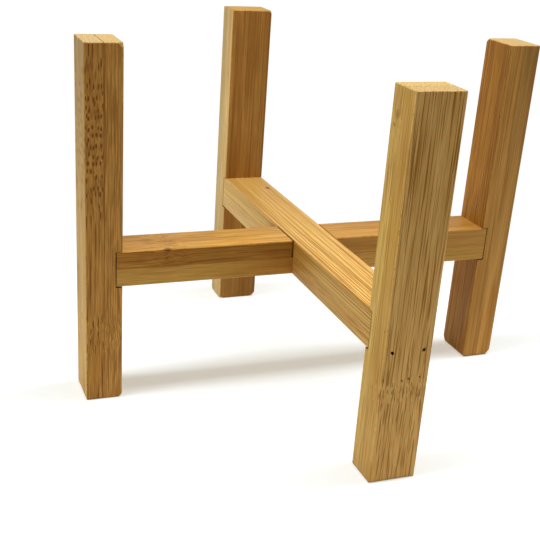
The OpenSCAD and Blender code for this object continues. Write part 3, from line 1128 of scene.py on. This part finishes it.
LOOKS = {
    "left_leg_outer_strip": {
        **tones((0.68, 0.352, 0.078), (0.578, 0.344, 0.07), (0.764, 0.566, 0.253), RED_BROWN),
        "Seed": 21, "Across": 9.0, "Deep": 1.5, "Run": 60, "Bundles": 1.0,
        "Even": 0.75, "Lines": 0.5, "Line Run": 40, "Fibres": 0.35, "Side Figure": 1.0,
        "Face Figure": 0.35, "Side Drift": -0.07, "Face Drift": -0.30, "Dash Low": 78,
        "Dash High": 151, "Dashes": 12.5, "Dot Width": 0.27, **LEFT_LEG,
    },
    "left_leg_inner_strip": {
        **tones((0.828, 0.451, 0.112), (0.60, 0.36, 0.12), (0.804, 0.579, 0.234), RED_BROWN),
        "Seed": 2, "Across": 6.0, "Deep": 1.3, "Width": 0.4, "Run On": 0.85, "Wander": 0.25,
        "Bundles": 0.55, "Even": 0.25, "Lines": 0.5, "Line Run": 26, "Fibres": 0.5,
        "Side Figure": 0.9, "Bands": 0.3, "Side Drift": -0.04, **LEFT_LEG,
    },
    "right_leg_outer_strip": {
        **tones((0.69, 0.368, 0.092), (0.66, 0.40, 0.13), (0.715, 0.483, 0.183), RED_BROWN),
        "Seed": 3, "Across": 1.2, "Deep": 1.7, "Width": 0.65, "Run": 200, "Line Run": 70,
        "Fibres": 0.2, "Side Figure": 0.5, "Bands": 1.3, "Side Drift": -0.3, "End Figure": 0.4,
        "Seam": 0.0,
    },
    "right_leg_inner_strip": {
        **tones((0.92, 0.485, 0.117), (0.514, 0.242, 0.026), (0.72, 0.483, 0.183), RED_BROWN),
        "Seed": 4, "Across": 1.7, "Deep": 1.4, "Width": 0.6, "Run": 240, "Wander": 0.25,
        "Lines": 0.85, "Line Run": 90, "Side Figure": 0.5, "Face Figure": 1.0, "Bands": 0.8,
        "Skew": 0.20, "Face Drift": -0.03, "End Figure": 0.4, "Seam": 0.0,
    },
    "front_leg_outer_strip": {
        **tones((0.67, 0.405, 0.092), (0.957, 0.598, 0.203), (0.73, 0.53, 0.225), WARM_BROWN),
        "Seed": 5, "Across": 1.65, "Deep": 1.1, "Width": 0.46, "Run": 160, "Wander": 0.15,
        "Bundles": 0.8, "Lines": 0.8, "Line Run": 40, "Fibres": 0.25, "Face Figure": 1.05,
        "Figure Drift": 0.12, "Bands": 0.45, "Face Drift": -0.12, "Dash Low": -4, "Dash High": 56,
        "Dashes": 1.5, "Node Height": 39, "Node Reach": 6, "Node Swirl": 0.04, "Node Dashes": 1.3,
        "End Figure": 0.7,
    },
    "front_leg_inner_strip": {
        **tones((0.795, 0.53, 0.137), (0.66, 0.40, 0.13), (0.86, 0.597, 0.213), BROWN),
        "Seed": 6, "Run": 80, "Lines": 0.7, "Fibres": 0.35, "Face Figure": 0.6, "Side Drift": -0.03,
        "Node Height": 140, "Node Reach": 7, "Node Swirl": 0.6, "Node Dashes": 1.5,
        "Spot Size": 1.5, "Spot Depth": 0.35, "End Figure": 0.7, "Spot Place": (-10.0, 3.05, 142.3),
    },
    "back_leg_outer_strip": {
        **tones((0.721, 0.53, 0.214), UNSEEN, (0.576, 0.34, 0.077), BROWN),
        "Seed": 7, "Deep": 1.3, "Width": 0.6, "Side Figure": 0.5, "Face Figure": 0.6, "Seam": 0.05,
    },
    "back_leg_inner_strip": {
        **tones((0.754, 0.516, 0.18), (0.6, 0.305, 0.069), (0.596, 0.356, 0.077), RED_BROWN),
        "Seed": 8, "Across": 2.2, "Deep": 1.6, "Width": 0.7, "Run": 300, "Wander": 0.25,
        "Bundles": 0.55, "Lines": 0.35, "Line Run": 120, "Fibres": 0.25, "Side Figure": 0.4,
        "Face Figure": 0.8, "Bands": 1.0, "Skew": 0.08, "Face Drift": 0.21, "Seam": 0.05,
    },
    # From here on, the dark end tones of the rails are painted shade: those ends stand in a housing
    # or at the crossing, and their dark rims make the gaps there read dark.
    "lower_rail_bottom_strip": {
        **tones((0.785, 0.466, 0.111), UNSEEN, (0.25, 0.12, 0.04), BROWN),
        "Seed": 9, "Across": 1.5, "Deep": 1.0, "Run": 45, "Lines": 0.5, "Side Figure": 0.6,
        "Face Figure": 0.6, "Bands": 0.35, "Joint Shade": 1.0,
    },
    "lower_rail_top_strip_left": {
        **tones((0.495, 0.235, 0.036), (0.752, 0.396, 0.08), (0.18, 0.09, 0.03), RED_BROWN),
        "Seed": 10, "Across": 1.4, "Width": 0.55, "Lines": 0.8, "Line Run": 45, "Face Figure": 0.65,
        "Skew": -0.10, "Side Drift": -0.14, "Node Height": -66, "Node Reach": 13,
        "Node Swirl": 0.45, "Node Dashes": 2, "Spot Size": 1.2, "Spot Depth": 1.0,
        "Spot Place": (-9.8, 7.7, -66.8),
    },
    "lower_rail_top_strip_right": {
        **tones((0.615, 0.325, 0.077), (0.655, 0.328, 0.06), (0.6, 0.31, 0.07), RED_BROWN),
        "Seed": 10, "Across": 1.4, "Width": 0.55, "Lines": 0.6, "Line Run": 45, "Fibres": 0.35,
        "Side Figure": 0.4, "Face Figure": 0.6, "Skew": -0.10,
    },
    "upper_rail_top_strip": {
        **tones((0.828, 0.541, 0.157), (0.852, 0.511, 0.132), (0.10, 0.05, 0.02), BROWN),
        "Seed": 11, "Across": 1.2, "Width": 0.48, "Run": 420, "Run On": 0.9, "Wander": 0.15,
        "Bundles": 1.0, "Even": 0.3, "Lines": 0.7, "Line Run": 80, "Fibres": 0.2,
        "Side Figure": 0.6, "Face Figure": 0.85, "Figure Drift": -0.45, "Bands": 0.4,
        "Side Drift": 0.03, "Face Drift": -0.36, "Spot Size": 1.2, "Spot Depth": 1.0, "Seam": 0.12,
        "Joint Shade": 1.0, "Spot Place": (-6.1, 7.75, 66.8),
    },
    "upper_rail_bottom_strip_front": {
        **tones((0.785, 0.486, 0.135), UNSEEN, (0.15, 0.08, 0.03), BROWN),
        "Seed": 12, "Deep": 0.9, "Run": 60, "Lines": 0.75, "Bands": 0.4, "Seam": 0.12,
        "Joint Shade": 1.0,
    },
    "upper_rail_bottom_strip_back": {
        **tones((0.825, 0.558, 0.203), UNSEEN, (0.15, 0.08, 0.03), BROWN),
        "Seed": 13, "Deep": 1.3, "Width": 1.0, "Run": 70.0, "Fibres": 0.25, "Side Figure": 0.3,
        "Seam": 0.1, "Joint Shade": 1.0,
    },
}
finishes = {name: bamboo_finish(name, look) for name, look in LOOKS.items()}
print("finishes", len(finishes))

# %% [markdown]
# ## Into the stand
# Each strip is now laid in its place, its mesh and not its object, so that the object stays
# at the origin. It then takes over from the construction piece of the same name and rides
# on the same body.

for name, mesh in blanks.items():
    bmesh.ops.transform(mesh, matrix=Matrix.Scale(MM, 4) @ PLACES[name], verts=mesh.verts)
    bmesh.ops.recalc_face_normals(mesh, faces=mesh.faces)
    open_edges = sum(len(edge.link_faces) != 2 for edge in mesh.edges)
    strip = finished_piece("bamboo_" + name, mesh, finishes[name])
    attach(strip, body_of(name))
    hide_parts(name)
    low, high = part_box(name)
    mine = strip.bound_box
    off = max(max(abs(mine[0][k] - low[k]), abs(mine[6][k] - high[k])) for k in range(3))
    print(name, "open edges", open_edges, "off by", round(off / MM, 4), "mm")

# %% [markdown]
# ## Steel brads
# The brads keep their construction meshes and get a finish of plain steel wire: a fine mottle
# of lighter and darker specks, rougher where it is paler, neither bright nor rusty.

# %% Brad finish
SPECK_PITCH = (4000.0,) * 3
STEEL_TONES = (0.16, 0.155, 0.15, 1), (0.42, 0.41, 0.40, 1)
SPECK, STEEL_ROUGH = (0.3, 0.7), (0.32, 0.55)

brad_material, tree, here = new_material("drawn_steel")
specks = noise(here * SPECK_PITCH, 2.0, "specks")
surface(
    tree, "ShaderNodeBsdfPrincipled", "steel",
    {
        "Base Color": mixed(specks, *STEEL_TONES, "steel"),
        "Roughness": eased(specks, *SPECK, "roughness", *STEEL_ROUGH),
        "Metallic": 1.0,
    },
)
brads = [node for name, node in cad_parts.items() if "brad" in name]
for brad in brads:
    brad.data.materials.clear()
    brad.data.materials.append(brad_material)
print("brads", len(brads))
